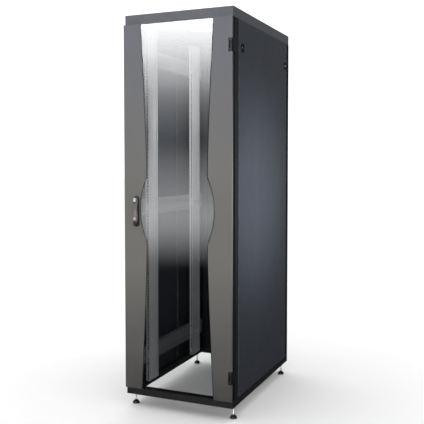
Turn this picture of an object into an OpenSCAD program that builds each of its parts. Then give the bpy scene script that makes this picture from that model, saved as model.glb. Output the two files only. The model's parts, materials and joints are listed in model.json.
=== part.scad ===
// Free-standing 19-inch network rack cabinet on levelling feet, with a glass front door.
// Millimetres. +Z up, the front faces -Y, and the origin lies on the floor under the middle of the cabinet.

/* [Cabinet] */
// Rack units between the base and the roof
rack_units = 42; // [24:1:47]
// Overall width of the body
body_w = 600; // [600:50:800]
// Depth from the front of the frame to the back of the rear door
body_d = 900; // [850:50:1200]
// Height of the base bar
base_h = 36; // [36:1:50]
// Height of the roof cap
cap_h = 49; // [49:1:70]
// Height of the base above the floor
foot_h = 68; // [60:1:90]

/* [Front door] */
// Thickness of a door together with its gap to the frame
door_t = 15; // [15:1:18]
// Width of a side strip at the top and bottom of the door
strip_end = 96; // [94:1:110]
// Width of a side strip at its two knees
strip_knee = 129; // [120:1:140]
// Width of a side strip at mid height
strip_mid = 91; // [91:1:100]
// Distance of the knees from mid height
knee_reach = 165; // [140:1:190]

/* [Rails] */
// Front face of the front rails, behind the front of the frame
front_rail_y = 109; // [95:1:140]
// Distance from the front rails to the rear rails
rail_spacing = 548; // [450:1:560]
// Depth of the rail's side web
rail_web = 103; // [100:1:110]

/* [Handles] */
// How far a lever stands out from its door
handle_out = 25; // [25:1:28]
// Distance of the handle from the door's closing edge
handle_inset = 72; // [70:1:74]

/* [Hidden] */
$fn = 64;
sheet = 1.5;
plate = 2;
gap = 2;
eps = 1;
unit = 44.45;
rail_margin = 9.05;
half_w = body_w / 2;

front_proud = door_t + handle_out;
front_y = -(body_d + handle_out - front_proud) / 2;
rear_y = front_y + body_d;
rear_plane = rear_y - door_t;

base_top = foot_h + base_h;
cap_z = base_top + rack_units * unit + 2 * rail_margin;
top_z = cap_z + cap_h;
door_z0 = base_top + gap;
door_z1 = cap_z - gap;
mid_z = (door_z0 + door_z1) / 2;

// Corner posts: u runs in from the side face, v runs in from the mounting plane of the door
notch_u = 12;
post_u = 45;
front_post_v = 90;
front_side_v0 = 33;
front_side_v1 = 75;
front_side_u = 3;
rear_post_v = 40;
rear_side_v = 24;

// Base and top frames
member = 40;
tube_wall = 2.5;
foot_u = 20;
foot_v = 59;
stud_r = 5;
stud_tip_r = 4;
stud_top_gap = 8;
boss_r = 11;
boss_inset = 1;
pad_r = 18;
pad_h = 20;
pad_socket_z = 10;
locknut_r = 9.8;
locknut_h = 6;
running = 0.08;
top_ring_h = 30;
top_ring_wall = 3;
earth_u = 27;
earth_v = 150;
earth_r = 4;
earth_len = 20;
earth_washer_r = 9;
earth_washer_t = 2;

// Depth braces
brace_h = 84;
brace_u0 = 22;
brace_u1 = 52;
brace_lip = 15;
brace_rib = 3;
brace_rib_h = 12;
brace_rib_inset = 14;
brace_inset = 143;
brace_levels = [base_top + brace_inset, mid_z, cap_z - brace_inset];

// 19-inch interface
rail_opening = 450;
hole_pitch_x = 465.1;
rail_hole = 9.5;
rail_hole_offsets = [6.35, 22.225, 38.1];
rail_u = (body_w - rail_opening) / 2;
hole_u = (body_w - hole_pitch_x) / 2;
flange_w = 20;
web_column = 88;
rail_end_gap = 5;
rail_return = 15;
bracket_v0 = 16;
bracket_len = 70;
bracket_h = 44;
screw_v = [30, 70];
screw_head_r = 5.5;
screw_head_h = 3;
screw_key_r = 2.6;

// Side panels and their latches
panel_depth = 11.5;
panel_y0 = front_y + front_side_v1 + eps;
panel_y1 = rear_plane - rear_side_v - eps;
latch_front_y = panel_y0 + 50;
latch_rear_y = panel_y1 - 29;
latch_z = brace_levels[2] + 8;
stiffener_inset = 250;
stiffener_w = 40;
cup_r = 22;
cup_depth = 10;
cup_wall = 2;
cup_lip = 1;
latch_spindle_r = 5;
grip_w = 9;
grip_h = 32;
cam_tip = 33.5;
cam_u = 24;
cam_t = 3;
cam_w = 12;

// Doors: y runs from 0 at the mounting plane to -door_t at the outer face
door_back = 2.5;
glass_t = 4;
glass_half_w = half_w - 21;
stile_u0 = 24;
stile_u1 = 60;
hinge_x = half_w - 7;
hinge_y = -8.5;
hinge_h = 64;
hinge_r = 7;
hinge_pin_r = 3;
hinge_leaf_w = 19;
hinge_knuckle = 30;
hinge_levels = [door_z0 + 118, door_z1 - 136];
hinge_half = hinge_h / 2;
hinge_back_t = 4;
seal_u0 = 28;
seal_u1 = 40;
vent_inset = 330;
vent_pitch_x = 125;
vent_pitch_z = 16;
vent_w = 100;
vent_h = 7;
rear_rib_inset = 55;
rear_rib_w = 30;

// Wavy inner edge of a side strip, as heights from mid height
knee_rise = strip_knee - strip_mid;
bulge_r = (knee_reach * knee_reach + knee_rise * knee_rise) / (2 * knee_rise);
sweep_len = (door_z1 - door_z0) / 2 - knee_reach;
sweep_power = 1.35;
bulge_steps = 12;
sweep_steps = 10;
half_stations = concat(
    [for (i = [0 : bulge_steps]) i * knee_reach / bulge_steps],
    [for (i = [1 : sweep_steps]) knee_reach + i * sweep_len / sweep_steps]);
last_station = len(half_stations) - 1;
stations = concat(
    [for (i = [last_station : -1 : 1]) -half_stations[i]],
    half_stations);

// Swing handles
handle_x = -half_w + handle_inset;
hub_z = mid_z + 46.5;
lock_z = hub_z - 96;
lever_bottom = hub_z - 111;
lever_w = 22;
lever_pin_y = -door_t - handle_out + 9;
lever_pin_r = 2;
handle_plate_w = 30;
handle_plate_t = 5;
handle_plate_end = 4;
hub_r = 8;
boss_half_w = 7;
spindle_r = 7;
spindle_end = 12;
door_cam_y = 8;
door_cam_t = 3;
door_cam_len = 13.5;
door_cam_half = 6;
lever_wall = 3;
lever_head = 22;
lever_foot = 24;
core_r = 7.5;
core_depth = 9.7;
catch_h = 22;
catch_lap = 2;
keeper_half = 25;
keeper_depth = 36;
keeper_t = 2;
keeper_gap = 1.5;

// Roof openings
fan_r = 56;
fan_pitch = 190;
fan_bolt = 105;
fan_bolt_r = 2.15;
fan_y = (front_y + rear_y) / 2 - 60;
entry_w = 300;
entry_d = 60;
entry_y = rear_y - 130;
brush_gap = 14;
brush_lap = 8;
brush_t = 4;
guard_bar = 2.4;
guard_hub_r = 9;
guard_rings = [24, 39, 54];
guard_eye_r = 5;

STEEL_DARK = "#43474d";
STEEL_FRONT = "#6f737a";
BLACK = "#17181a";
ZINC = "#b9bcbf";
CHROME = "#d4d6d9";

// ---------- placing ----------

// A corner's own frame: x = u, in from the side face; y = v, in from the mounting plane; z unchanged.
module at_corner(side, end, plane_front = front_y, plane_rear = rear_plane) {
    translate([side * half_w, end < 0 ? plane_front : plane_rear, 0])
        mirror([side > 0 ? 1 : 0, 0, 0])
            mirror([0, end > 0 ? 1 : 0, 0])
                children();
}

module at_front_door() {
    translate([0, front_y, 0])
        children();
}

module at_rear_door() {
    translate([0, rear_plane, 0])
        rotate([0, 0, 180])
            children();
}

// A box between two corners.
module block(low, high) {
    translate(low)
        cube(high - low);
}

// A flat sheet cut from an outline in X and Z, between y0 and y1.
module upright_sheet(y0, y1) {
    translate([0, y1, 0])
        rotate([90, 0, 0])
            linear_extrude(y1 - y0)
                children();
}

// A turned piece whose axis lies along Y, from y0 to y1.
module rod_y(r, y0, y1) {
    translate([0, y1, 0])
        rotate([90, 0, 0])
            cylinder(r = r, h = y1 - y0);
}

// A turned piece whose axis lies along X, from x0 to x1.
module rod_x(r, x0, x1) {
    translate([x0, 0, 0])
        rotate([0, 90, 0])
            cylinder(r = r, h = x1 - x0);
}

module rounded_rect(w, d, r) {
    square([w - 2 * r, d], center = true);
    square([w, d - 2 * r], center = true);
    for (x = [-1, 1], y = [-1, 1])
        translate([x * (w / 2 - r), y * (d / 2 - r)])
            circle(r);
}

// ---------- base, feet and top frame ----------

module ring(x, y0, y1, z0, z1, width) {
    difference() {
        block([-x, y0, z0], [x, y1, z1]);
        block([-x + width, y0 + width, z0 - eps], [x - width, y1 - width, z1 + eps]);
    }
}

module at_foot(side, end) {
    at_corner(side, end, plane_rear = rear_y)
        translate([foot_u, foot_v, 0])
            children();
}

module at_feet() {
    for (side = [-1, 1], end = [-1, 1])
        at_foot(side, end)
            children();
}

// A square tube bent into a frame, with a threaded boss over each foot.

module base_frame() {
    color(BLACK)
        difference() {
            union() {
                difference() {
                    ring(half_w, front_y, rear_y, foot_h, base_top, member);
                    difference() {
                        block([-half_w + tube_wall, front_y + tube_wall, foot_h + tube_wall],
                              [half_w - tube_wall, rear_y - tube_wall, base_top - tube_wall]);
                        block([-half_w + member - tube_wall, front_y + member - tube_wall, foot_h],
                              [half_w - member + tube_wall, rear_y - member + tube_wall, base_top]);
                    }
                }
                at_feet()
                    translate([0, 0, foot_h + boss_inset])
                        cylinder(r = boss_r, h = base_h - 2 * boss_inset);
            }
            at_feet()
                translate([0, 0, foot_h - eps])
                    cylinder(r = stud_r + running, h = base_h - 2 * boss_inset + eps);
        }
}

module foot_pad(side, end) {
    color(BLACK)
        at_foot(side, end)
            difference() {
                rotate_extrude()
                    polygon([[0, 0], [pad_r, 0], [pad_r, 5], [pad_r - 2, 10], [10, 17],
                             [7.5, pad_h], [0, pad_h]]);
                translate([0, 0, pad_socket_z])
                    cylinder(r = stud_tip_r, h = pad_h - pad_socket_z + eps);
            }
}

module foot_stud(side, end) {
    color(ZINC)
        at_foot(side, end) {
            translate([0, 0, pad_socket_z])
                cylinder(r = stud_tip_r, h = pad_h - pad_socket_z);
            translate([0, 0, pad_h])
                cylinder(r = stud_r, h = base_top - stud_top_gap - pad_h);
        }
}

module foot_locknuts() {
    color(ZINC)
        at_feet()
            translate([0, 0, foot_h - locknut_h])
                difference() {
                    cylinder(r = locknut_r, h = locknut_h, $fn = 6);
                    translate([0, 0, -eps])
                        cylinder(r = stud_r + running, h = locknut_h + 2 * eps);
                }
}

module earth_studs() {
    color(ZINC)
        for (side = [-1, 1])
            at_corner(side, 1)
                translate([earth_u, earth_v, base_top]) {
                    cylinder(r = earth_washer_r, h = earth_washer_t);
                    translate([0, 0, earth_washer_t])
                        cylinder(r = earth_r, h = earth_len);
                }
}

module top_frame() {
    inset = 2 * sheet;
    x = half_w - inset;
    color(STEEL_DARK) {
        ring(x, front_y + inset, rear_y - inset, cap_z, cap_z + top_ring_wall, member);
        ring(x, front_y + inset, rear_y - inset, cap_z + top_ring_wall, cap_z + top_ring_h, top_ring_wall);
    }
}

// ---------- roof ----------

module at_fans() {
    for (x = [-1, 1], y = [-1, 1])
        translate([x * fan_pitch / 2, fan_y + y * fan_pitch / 2, 0])
            children();
}

module at_fan_bolts() {
    for (x = [-1, 1], y = [-1, 1])
        translate([x * fan_bolt / 2, y * fan_bolt / 2, 0])
            children();
}

module roof_cap() {
    middle_y = (front_y + rear_y) / 2;
    color(STEEL_FRONT)
        difference() {
            translate([0, middle_y, cap_z])
                linear_extrude(cap_h)
                    rounded_rect(body_w, body_d, 4);
            translate([0, middle_y, cap_z - eps])
                linear_extrude(cap_h - sheet + eps)
                    rounded_rect(body_w - 2 * sheet, body_d - 2 * sheet, 4 - sheet);
            at_fans() {
                translate([0, 0, cap_z])
                    cylinder(r = fan_r, h = cap_h + eps);
                at_fan_bolts()
                    translate([0, 0, cap_z])
                        cylinder(r = fan_bolt_r, h = cap_h + eps);
            }
            block([-entry_w / 2, entry_y - entry_d / 2, cap_z],
                  [entry_w / 2, entry_y + entry_d / 2, top_z + eps]);
        }
}

// One finger guard: a hub and three flat rings on four spokes that end in bolt eyes.
module fan_guard() {
    spoke_start = guard_hub_r - eps;
    spoke_end = fan_bolt * sqrt(2) / 2 - guard_eye_r + eps;
    cylinder(r = guard_hub_r, h = guard_bar);
    for (r = guard_rings)
        difference() {
            cylinder(r = r, h = guard_bar);
            translate([0, 0, -eps])
                cylinder(r = r - guard_bar, h = guard_bar + 2 * eps);
        }
    for (a = [45 : 90 : 315])
        rotate([0, 0, a])
            translate([spoke_start, -guard_bar / 2, 0])
                cube([spoke_end - spoke_start, guard_bar, guard_bar]);
    at_fan_bolts()
        difference() {
            cylinder(r = guard_eye_r, h = guard_bar);
            translate([0, 0, -eps])
                cylinder(r = fan_bolt_r + 0.15, h = guard_bar + 2 * eps);
        }
}

module roof_fan_guards() {
    color(BLACK)
        translate([0, 0, top_z - sheet - guard_bar])
            at_fans()
                fan_guard();
}

// Two brush carriers under the cable entry; their bristles leave a narrow slot between them.
module roof_brush() {
    z1 = top_z - sheet;
    carrier_y = entry_d / 2 - brush_lap;
    color(BLACK)
        for (s = [-1, 1])
            translate([0, entry_y, 0])
                mirror([0, s > 0 ? 1 : 0, 0]) {
                    block([-entry_w / 2 - brush_lap, carrier_y, z1 - brush_t],
                          [entry_w / 2 + brush_lap, carrier_y + 2 * brush_lap, z1]);
                    block([-entry_w / 2 + 2, brush_gap / 2, z1 - brush_t + 1],
                          [entry_w / 2 - 2, carrier_y, z1]);
                }
}

// ---------- frame uprights, braces and rails ----------

// Folded tube with a stepped section; its side face shows beside the panel.
module front_post() {
    w = plate;
    linear_extrude(cap_z - base_top)
        difference() {
            polygon([[notch_u, 0], [post_u, 0], [post_u, front_post_v], [notch_u, front_post_v],
                     [notch_u, front_side_v1], [front_side_u, front_side_v1],
                     [front_side_u, front_side_v0], [notch_u, front_side_v0]]);
            polygon([[notch_u + w, w], [post_u - w, w], [post_u - w, front_post_v - w],
                     [notch_u + w, front_post_v - w], [notch_u + w, front_side_v1 - w],
                     [front_side_u + w, front_side_v1 - w], [front_side_u + w, front_side_v0 + w],
                     [notch_u + w, front_side_v0 + w]]);
        }
}

module rear_post() {
    w = plate;
    linear_extrude(cap_z - base_top)
        difference() {
            polygon([[notch_u, 0], [post_u, 0], [post_u, rear_post_v], [notch_u, rear_post_v]]);
            polygon([[notch_u + w, w], [post_u - w, w], [post_u - w, rear_post_v - w],
                     [notch_u + w, rear_post_v - w]]);
        }
}

module post(side, end) {
    color(STEEL_DARK)
        at_corner(side, end)
            translate([0, 0, base_top]) {
                if (end < 0)
                    front_post();
                else
                    rear_post();
            }
}

// A channel open towards the side panel, between the posts; two ribs run along its inner face.
module brace(side, level) {
    y0 = front_post_v;
    y1 = rear_plane - front_y - rear_post_v;
    z0 = brace_levels[level] - brace_h / 2;
    z1 = z0 + brace_h;
    color(STEEL_DARK)
        at_corner(side, -1) {
            block([brace_u1 - plate, y0, z0], [brace_u1, y1, z1]);
            for (z = [z0, z1 - plate])
                block([brace_u0, y0, z], [brace_u1, y1, z + plate]);
            for (z = [z0, z1 - brace_lip])
                block([brace_u0, y0, z], [brace_u0 + plate, y1, z + brace_lip]);
            for (z = [z0 + brace_rib_inset, z1 - brace_rib_inset - brace_rib_h])
                block([brace_u1 - plate, y0, z], [brace_u1 + brace_rib, y1, z + brace_rib_h]);
        }
}

function hole_z(i, k) = base_top + rail_margin + i * unit + rail_hole_offsets[k];

// An L-shaped rail: the flange faces the front, the web runs back along the equipment's side.
module rail(side, y) {
    z0 = base_top + rail_end_gap;
    z1 = cap_z - rail_end_gap;
    half = rail_hole / 2;
    color(ZINC)
        at_corner(side, -1)
            translate([0, y, 0])
                difference() {
                    union() {
                        block([rail_u - flange_w, 0, z0], [rail_u, plate, z1]);
                        block([rail_u - plate, 0, z0], [rail_u, rail_web, z1]);
                        block([rail_u - rail_return, rail_web - plate, z0], [rail_u, rail_web, z1]);
                    }
                    for (i = [0 : rack_units - 1], k = [0 : 2]) {
                        block([hole_u - half, -eps, hole_z(i, k) - half],
                              [hole_u + half, plate + eps, hole_z(i, k) + half]);
                        block([rail_u - plate - eps, web_column - half, hole_z(i, k) - half],
                              [rail_u + eps, web_column + half, hole_z(i, k) + half]);
                    }
                }
}

module at_rail_joints() {
    for (side = [-1, 1], y = [front_rail_y, front_rail_y + rail_spacing], z = brace_levels)
        at_corner(side, -1)
            translate([0, y, z])
                children();
}

module rail_brackets() {
    u0 = brace_u1 + brace_rib;
    u1 = rail_u - plate;
    z = bracket_h / 2;
    color(ZINC)
        at_rail_joints()
            difference() {
                block([u0, bracket_v0, -z], [u1, bracket_v0 + bracket_len, z]);
                block([u0 + plate, bracket_v0 - eps, -z + plate],
                      [u1 - plate, bracket_v0 + bracket_len + eps, z - plate]);
            }
}

module rail_screws() {
    color(CHROME)
        at_rail_joints()
            for (v = screw_v)
                translate([rail_u, v, 0])
                    difference() {
                        rod_x(screw_head_r, 0, screw_head_h);
                        rod_x(screw_key_r, screw_head_h / 2, screw_head_h + eps, $fn = 6);
                    }
}

// ---------- side panels ----------

function latch_y(end) = end < 0 ? latch_front_y : latch_rear_y;

// A panel's own frame: x = in from the side face, y and z as in the cabinet.
module at_side(side) {
    translate([side * half_w, 0, 0])
        mirror([side > 0 ? 1 : 0, 0, 0])
            children();
}

module at_latch(side, end) {
    at_side(side)
        translate([0, latch_y(end), latch_z])
            children();
}

// A tray with two hat-shaped stiffeners behind its skin and a round hole for each latch cup.
module side_panel(side) {
    z0 = base_top + gap;
    z1 = cap_z - gap;
    half = stiffener_w / 2;
    stiffener_y = [panel_y0 + stiffener_inset, panel_y1 - stiffener_inset];
    color(STEEL_DARK)
        at_side(side)
            difference() {
                union() {
                    difference() {
                        block([0, panel_y0, z0], [panel_depth, panel_y1, z1]);
                        block([sheet, panel_y0 + sheet, z0 + sheet],
                              [panel_depth + eps, panel_y1 - sheet, z1 - sheet]);
                    }
                    for (y = stiffener_y)
                        block([sheet, y - half, z0], [panel_depth - 1, y + half, z1]);
                }
                for (y = stiffener_y)
                    block([sheet, y - half + sheet, z0 - eps],
                          [panel_depth - 1 - sheet, y + half - sheet, z1 + eps]);
                for (end = [-1, 1])
                    translate([0, latch_y(end), latch_z])
                        rod_x(cup_r, -eps, panel_depth + eps);
            }
}

module latch_cups(side) {
    color(BLACK)
        for (end = [-1, 1])
            at_latch(side, end)
                difference() {
                    union() {
                        rod_x(cup_r + 2 * cup_lip, -cup_lip, 0);
                        rod_x(cup_r, 0, cup_depth);
                    }
                    rod_x(cup_r - cup_wall, -cup_lip - eps, cup_depth - sheet);
                    rod_x(latch_spindle_r + running, 0, cup_depth + eps);
                }
}

// Grip, spindle and cam of one quarter-turn latch; the cam points down at rest.
module latch(side, end) {
    grip_y1 = 5;
    disc_y1 = 8;
    color(BLACK)
        at_latch(side, end)
            difference() {
                union() {
                    rod_x(cup_r - cup_wall - sheet, grip_y1, disc_y1);
                    block([0.5, -grip_w / 2, -grip_h / 2], [grip_y1, grip_w / 2, grip_h / 2]);
                    rod_x(latch_spindle_r, disc_y1, cam_u + cam_t);
                    rod_x(latch_spindle_r + cam_t, cam_u, cam_u + cam_t);
                    block([cam_u, -cam_w / 2, -cam_tip], [cam_u + cam_t, cam_w / 2, 0]);
                }
                block([0, -1, -5], [2.5, 1, 5]);
            }
}

// ---------- doors ----------

// Width of a strip at a distance s from mid height: a circular bulge between the knees, then a slow taper.
function strip_width(s) = s <= knee_reach
    ? strip_mid + bulge_r - sqrt(bulge_r * bulge_r - s * s)
    : strip_knee - (strip_knee - strip_end) * pow((s - knee_reach) / sweep_len, sweep_power);

module strip_outline() {
    polygon(concat(
        [[half_w, door_z1], [half_w, door_z0]],
        [for (s = stations) [half_w - strip_width(abs(s)), mid_z + s]]));
}

module hinge_notches() {
    for (z = hinge_levels)
        block([half_w - hinge_leaf_w - 0.5, -door_t - eps, z - hinge_half - 1],
              [half_w + eps, eps, z + hinge_half + 1]);
}

// Right-hand strip: a flat skin with folded outer, top and bottom edges.
module strip_body() {
    upright_sheet(-door_t, -door_t + sheet)
        strip_outline();
    block([half_w - sheet, -door_t, door_z0], [half_w, -door_back, door_z1]);
    for (z = [door_z0, door_z1 - sheet])
        block([half_w - strip_end, -door_t, z], [half_w, -door_back, z + sheet]);
}

module front_strip_right() {
    color(STEEL_FRONT)
        at_front_door()
            difference() {
                strip_body();
                hinge_notches();
            }
}

module front_strip_left() {
    color(STEEL_FRONT)
        at_front_door()
            difference() {
                mirror([1, 0, 0])
                    strip_body();
                translate([handle_x, 0, hub_z])
                    rod_y(hub_r + 0.5, -door_t - eps, 0);
            }
}

module front_glass() {
    y0 = -door_t + sheet;
    color("#9fb4b8", 0.35)
        at_front_door()
            difference() {
                block([-glass_half_w, y0, door_z0 + gap], [glass_half_w, y0 + glass_t, door_z1 - gap]);
                translate([handle_x, 0, hub_z])
                    rod_y(14, y0 - eps, y0 + glass_t + eps);
            }
}

// Channels bonded to the back of the glass, hidden behind the strips.
module front_stiles() {
    y0 = -door_t + sheet + glass_t;
    z0 = door_z0 + 6;
    z1 = door_z1 - 6;
    color(STEEL_DARK)
        at_front_door()
            for (side = [-1, 1])
                mirror([side < 0 ? 1 : 0, 0, 0])
                    difference() {
                        block([half_w - stile_u1, y0, z0], [half_w - stile_u0, -door_back, z1]);
                        block([half_w - stile_u1 + plate, y0 - eps, z0 + plate],
                              [half_w - stile_u0 - plate, -door_back - plate, z1 - plate]);
                    }
}

module front_seals() {
    color(BLACK)
        at_front_door()
            for (side = [-1, 1])
                mirror([side < 0 ? 1 : 0, 0, 0])
                    block([half_w - seal_u1, -door_back, door_z0 + 10],
                          [half_w - seal_u0, -0.3, door_z1 - 10]);
}

// Two fields of vent slots, six above and six below their own middle line.
module vent_slots() {
    for (z = [door_z0 + vent_inset, door_z1 - vent_inset], row = [-6 : 5], x = [-1, 0, 1])
        translate([x * vent_pitch_x - vent_w / 2, -door_t - eps, z + row * vent_pitch_z])
            cube([vent_w, sheet + 2 * eps, vent_h]);
}

// A folded sheet-steel leaf, seen from its own hinge side like the front door.
module rear_door_panel() {
    rib_x = half_w - rear_rib_inset;
    rib_half = rear_rib_w / 2;
    rib_wall = rib_half - plate;
    color(STEEL_DARK)
        at_rear_door()
            difference() {
                union() {
                    difference() {
                        block([-half_w, -door_t, door_z0], [half_w, -door_back, door_z1]);
                        block([-half_w + sheet, -door_t + sheet, door_z0 + sheet],
                              [half_w - sheet, 0, door_z1 - sheet]);
                    }
                    for (x = [-rib_x, rib_x])
                        block([x - rib_half, -door_t, door_z0], [x + rib_half, -door_back - 1, door_z1]);
                }
                for (x = [-rib_x, rib_x])
                    block([x - rib_wall, -door_t + sheet, door_z0 - eps],
                          [x + rib_wall, -door_back - 1 - plate, door_z1 + eps]);
                vent_slots();
                hinge_notches();
                translate([handle_x, 0, hub_z])
                    rod_y(hub_r + 0.5, -door_t - eps, 0);
            }
}

// Door leaf of a corner hinge: a flat back with an upper and a lower eye.
module door_hinge_leaf() {
    eye = hinge_half - hinge_knuckle / 2 - 0.4;
    x0 = half_w - hinge_leaf_w;
    difference() {
        union() {
            block([x0, -door_t - 1, -hinge_half], [x0 + hinge_back_t, -door_back, hinge_half]);
            for (z = [-hinge_half, hinge_half - eye]) {
                block([x0, -door_t - 1, z], [hinge_x, -1.5, z + eye]);
                translate([hinge_x, hinge_y, z])
                    cylinder(r = hinge_r, h = eye);
            }
        }
        translate([hinge_x, hinge_y, -hinge_half - eps])
            cylinder(r = hinge_pin_r + running, h = hinge_h + 2 * eps);
    }
}

module door_hinge_leaves() {
    for (z = hinge_levels)
        translate([0, 0, z])
            door_hinge_leaf();
}

// Frame leaf: a block in the post's notch that carries the middle knuckle.
module frame_hinge_leaf() {
    knuckle = hinge_knuckle / 2;
    difference() {
        union() {
            block([half_w - notch_u, 2, -hinge_half + 1], [half_w - 1, rear_side_v - 1, hinge_half - 1]);
            block([hinge_x - hinge_back_t, hinge_y, -knuckle], [hinge_x + hinge_back_t, 2, knuckle]);
            translate([hinge_x, hinge_y, -knuckle])
                cylinder(r = hinge_r - 1, h = hinge_knuckle);
        }
        translate([hinge_x, hinge_y, -knuckle - eps])
            cylinder(r = hinge_pin_r, h = hinge_knuckle + 2 * eps);
    }
}

module at_hinges() {
    for (z = hinge_levels) {
        at_front_door()
            translate([0, 0, z])
                children();
        at_rear_door()
            translate([0, 0, z])
                children();
    }
}

module frame_hinge_leaves() {
    color(BLACK)
        at_hinges()
            frame_hinge_leaf();
}

// Headed pins: the head rests on the door leaf's upper eye.
module hinge_pins() {
    below = 2;
    shank = hinge_h + below + 0.4;
    color(ZINC)
        at_hinges()
            translate([hinge_x, hinge_y, -hinge_half - below]) {
                cylinder(r = hinge_pin_r, h = shank);
                translate([0, 0, shank])
                    cylinder(r = hinge_pin_r + 2, h = 2);
            }
}

// ---------- swing handles ----------

// Outline with half-round ends, w wide and from z0 to z1.
module slot_outline(w, z0, z1) {
    translate([-w / 2, z0 + w / 2])
        square([w, z1 - z0 - w]);
    for (z = [z0 + w / 2, z1 - w / 2])
        translate([0, z])
            circle(w / 2);
}

// Plate with its raised lower catch.
module handle_plate() {
    y1 = -door_t;
    z0 = lever_bottom - catch_h - 6;
    z1 = hub_z + handle_plate_w / 2 + handle_plate_end;
    catch_half = lever_w / 2 + catch_lap;
    translate([handle_x, 0, 0])
        difference() {
            union() {
                upright_sheet(y1 - handle_plate_t, y1)
                    slot_outline(handle_plate_w, z0, z1);
                block([-catch_half, y1 - handle_out + 8, lever_bottom - catch_h],
                      [catch_half, y1 - handle_plate_t, lever_bottom - 1.5]);
            }
            translate([0, 0, hub_z])
                rod_y(hub_r + running, y1 - handle_plate_t - eps, y1 + eps);
        }
}

// Boss, spindle and cam; the cam points to the closing edge, in front of the keeper.
module handle_hub() {
    boss_y0 = -door_t - handle_out;
    boss_y1 = -door_t - handle_plate_t - 0.3;
    boss_half_h = 12;
    translate([handle_x, 0, hub_z])
        difference() {
            union() {
                intersection() {
                    rod_y(boss_half_h - 1, boss_y0 + 2, boss_y1);
                    block([-boss_half_w, boss_y0, -boss_half_h], [boss_half_w, boss_y1, boss_half_h]);
                }
                rod_y(hub_r, boss_y1, -door_back);
                rod_y(spindle_r, -door_back, spindle_end);
                block([-door_cam_len, door_cam_y, -door_cam_half],
                      [0, door_cam_y + door_cam_t, door_cam_half]);
            }
            translate([0, lever_pin_y, 0])
                rod_x(lever_pin_r, -hub_r, hub_r);
        }
}

module lever_pin() {
    translate([handle_x, lever_pin_y, hub_z])
        rod_x(lever_pin_r, -lever_w / 2, lever_w / 2);
}

// Lever: two cheeks round the boss, then a long grip that holds the lock core.
module handle_lever() {
    half = lever_w / 2;
    y0 = -door_t - handle_out;
    y1 = -door_t - handle_plate_t - 2;
    cheek_r = lever_pin_y - y0;
    fork = boss_half_w + 0.4;
    translate([handle_x, 0, 0])
        difference() {
            union() {
                translate([0, lever_pin_y, hub_z])
                    rod_x(cheek_r, -half, half);
                block([-half, y0, lever_bottom], [half, y1, hub_z]);
            }
            block([-fork, y0 - eps, hub_z - 15], [fork, y1 + eps, hub_z + cheek_r + eps]);
            translate([0, lever_pin_y, hub_z])
                rod_x(lever_pin_r + running, -lever_w, lever_w);
            translate([0, 0, lock_z])
                rod_y(core_r + running, y0 - eps, y0 + 10);
            block([-half + lever_wall, y0 + 3 * lever_wall, lever_bottom + lever_foot],
                  [half - lever_wall, y1 + eps, hub_z - lever_head]);
        }
}

module lock_core() {
    y0 = -door_t - handle_out;
    translate([handle_x, 0, lock_z])
        difference() {
            rod_y(core_r, y0 + 0.5, y0 + core_depth);
            block([-1, y0, -4], [1, y0 + 6, 4]);
        }
}

// An angle on each closing-side post; its lip stops just short of the hub's cam.
module door_keeper() {
    lip_end = handle_inset - door_cam_len - keeper_gap;
    translate([-half_w, 0, hub_z]) {
        block([post_u, gap, -keeper_half], [post_u + keeper_t, keeper_depth, keeper_half]);
        block([post_u, gap, -keeper_half], [lip_end, gap + 3, keeper_half]);
    }
}

module door_keepers() {
    color(ZINC) {
        at_front_door()
            door_keeper();
        at_rear_door()
            door_keeper();
    }
}

// ---------- the same fittings on both doors ----------

module front_hinge_leaves() {
    color(BLACK)
        at_front_door()
            door_hinge_leaves();
}

module front_handle_plate() {
    color(BLACK)
        at_front_door()
            handle_plate();
}

module front_handle_hub() {
    color(CHROME)
        at_front_door()
            handle_hub();
}

module front_handle_lever() {
    color(BLACK)
        at_front_door()
            handle_lever();
}

module front_lock_core() {
    color(CHROME)
        at_front_door()
            lock_core();
}

module front_lever_pin() {
    color(ZINC)
        at_front_door()
            lever_pin();
}

module rear_hinge_leaves() {
    color(BLACK)
        at_rear_door()
            door_hinge_leaves();
}

module rear_handle_plate() {
    color(BLACK)
        at_rear_door()
            handle_plate();
}

module rear_handle_hub() {
    color(CHROME)
        at_rear_door()
            handle_hub();
}

module rear_handle_lever() {
    color(BLACK)
        at_rear_door()
            handle_lever();
}

module rear_lock_core() {
    color(CHROME)
        at_rear_door()
            lock_core();
}

module rear_lever_pin() {
    color(ZINC)
        at_rear_door()
            lever_pin();
}

// ---------- nodes ----------

base_frame();
top_frame();
roof_cap();
roof_fan_guards();
roof_brush();
post(-1, -1);  // post_front_left
post(1, -1);  // post_front_right
post(-1, 1);  // post_rear_left
post(1, 1);  // post_rear_right
brace(-1, 0);  // brace_left_low
brace(-1, 1);  // brace_left_mid
brace(-1, 2);  // brace_left_top
brace(1, 0);  // brace_right_low
brace(1, 1);  // brace_right_mid
brace(1, 2);  // brace_right_top
rail(-1, front_rail_y);  // rail_front_left
rail(1, front_rail_y);  // rail_front_right
rail(-1, front_rail_y + rail_spacing);  // rail_rear_left
rail(1, front_rail_y + rail_spacing);  // rail_rear_right
rail_brackets();
rail_screws();
foot_locknuts();
frame_hinge_leaves();
hinge_pins();
door_keepers();
earth_studs();
foot_pad(-1, -1);  // foot_pad_front_left
foot_pad(1, -1);  // foot_pad_front_right
foot_pad(-1, 1);  // foot_pad_rear_left
foot_pad(1, 1);  // foot_pad_rear_right
foot_stud(-1, -1);  // foot_stud_front_left
foot_stud(1, -1);  // foot_stud_front_right
foot_stud(-1, 1);  // foot_stud_rear_left
foot_stud(1, 1);  // foot_stud_rear_right
side_panel(-1);  // side_panel_left
side_panel(1);  // side_panel_right
latch_cups(-1);  // latch_cups_left
latch_cups(1);  // latch_cups_right
latch(-1, -1);  // latch_left_front
latch(-1, 1);  // latch_left_rear
latch(1, -1);  // latch_right_front
latch(1, 1);  // latch_right_rear
front_glass();
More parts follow.
